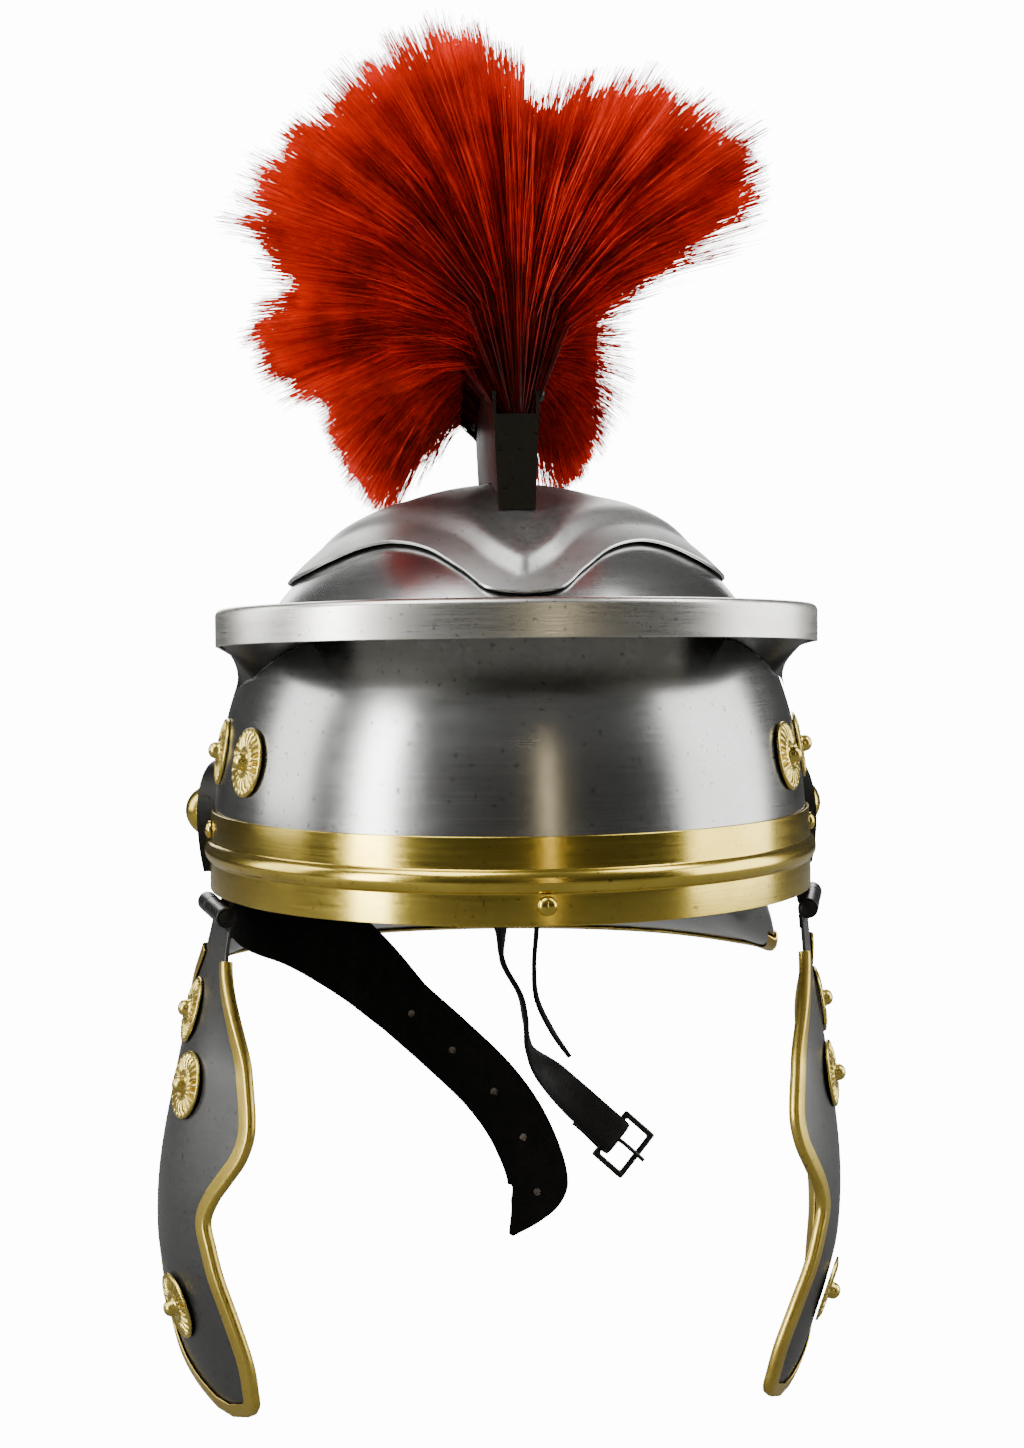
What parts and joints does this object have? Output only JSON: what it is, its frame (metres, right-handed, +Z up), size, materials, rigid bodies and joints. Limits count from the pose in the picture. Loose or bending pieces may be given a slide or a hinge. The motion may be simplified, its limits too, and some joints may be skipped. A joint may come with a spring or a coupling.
{
  "type": "roman legionary helmet with crest and cheek guards",
  "caption": "Steel helmet with a brow peak and brass band, a fan of red hair in a narrow crest box, hinged cheek guards, a flanged neck guard and leather chin straps.",
  "frame": {"origin": "inside of the crown, where the helmet sits on the top of a head", "axes": "+Z up through the crest, -Y toward the brow, +X toward the wearer's left"},
  "size_m": [0.2334, 0.2954, 0.4581],
  "materials": {
    "bowl_steel": "fine level brushing, satin",
    "crown_steel": "brushed with a bright cut edge",
    "peak_steel": "polished, lightly scratched",
    "cheek_steel": "satin, worn",
    "dark_steel": "dark, slightly oiled",
    "band_brass": "polished with brown tarnish",
    "edging_brass": "satin, worn",
    "rosette_brass": "stamped, darker in the flutes",
    "strap_leather": "matte black-brown",
    "crest_hair": "stiff dyed bristle, brighter at its tips"
  },
  "bodies": {
    "helmet": {"skull_bowl": "bowl_steel", "neck_guard": "bowl_steel", "neck_guard_rivet_left": "bowl_steel", "neck_guard_rivet_right": "bowl_steel", "crown_plate": "crown_steel", "brow_peak": "peak_steel", "ear_guard_left": "dark_steel", "ear_guard_right": "dark_steel", "crest_box": "dark_steel", "crest_pin_front": "dark_steel", "crest_pin_rear": "dark_steel", "hinge_pin_left": "dark_steel", "hinge_pin_right": "dark_steel", "hinge_leaf_left": "dark_steel", "hinge_leaf_right": "dark_steel", "buckle_frame": "dark_steel", "buckle_prong": "dark_steel", "holed_strap_rivet": "dark_steel", "buckle_strap_rivet": "dark_steel", "tie_strap_rivet": "dark_steel", "brow_band": "band_brass", "brow_band_rivet_front": "band_brass", "brow_band_rivet_left": "band_brass", "brow_band_rivet_right": "band_brass", "ear_boss_left": "band_brass", "ear_boss_right": "band_brass", "neck_guard_edging": "edging_brass", "bowl_rosette_front_left": "rosette_brass", "bowl_rosette_front_right": "rosette_brass", "bowl_rosette_back_left": "rosette_brass", "bowl_rosette_back_right": "rosette_brass", "bowl_rosette_front_left_knob": "rosette_brass", "bowl_rosette_front_right_knob": "rosette_brass", "bowl_rosette_back_left_knob": "rosette_brass", "bowl_rosette_back_right_knob": "rosette_brass", "holed_strap": "strap_leather", "buckle_strap": "strap_leather", "tie_strap": "strap_leather", "crest_plume": "crest_hair"},
    "cheek_left": {"cheek_guard_left": "cheek_steel", "cheek_edging_left": "edging_brass", "cheek_rosette_upper_left": "rosette_brass", "cheek_rosette_middle_left": "rosette_brass", "cheek_rosette_lower_left": "rosette_brass", "cheek_rosette_upper_left_knob": "rosette_brass", "cheek_rosette_middle_left_knob": "rosette_brass", "cheek_rosette_lower_left_knob": "rosette_brass"},
    "cheek_right": {"cheek_guard_right": "cheek_steel", "cheek_edging_right": "edging_brass", "cheek_rosette_upper_right": "rosette_brass", "cheek_rosette_middle_right": "rosette_brass", "cheek_rosette_lower_right": "rosette_brass", "cheek_rosette_upper_right_knob": "rosette_brass", "cheek_rosette_middle_right_knob": "rosette_brass", "cheek_rosette_lower_right_knob": "rosette_brass"}
  },
  "joints": [
    {"name": "cheek_left_hinge", "type": "hinge", "parent": "helmet", "child": "cheek_left", "pos_m": [0.09701, -0.03122, -0.1349], "axis": [-0.2218, -0.9747, -0.0262], "range_deg": [-8, 75]},
    {"name": "cheek_right_hinge", "type": "hinge", "parent": "helmet", "child": "cheek_right", "pos_m": [-0.09701, -0.03122, -0.1349], "axis": [-0.2218, 0.9747, 0.0262], "range_deg": [-8, 75]}
  ]
}
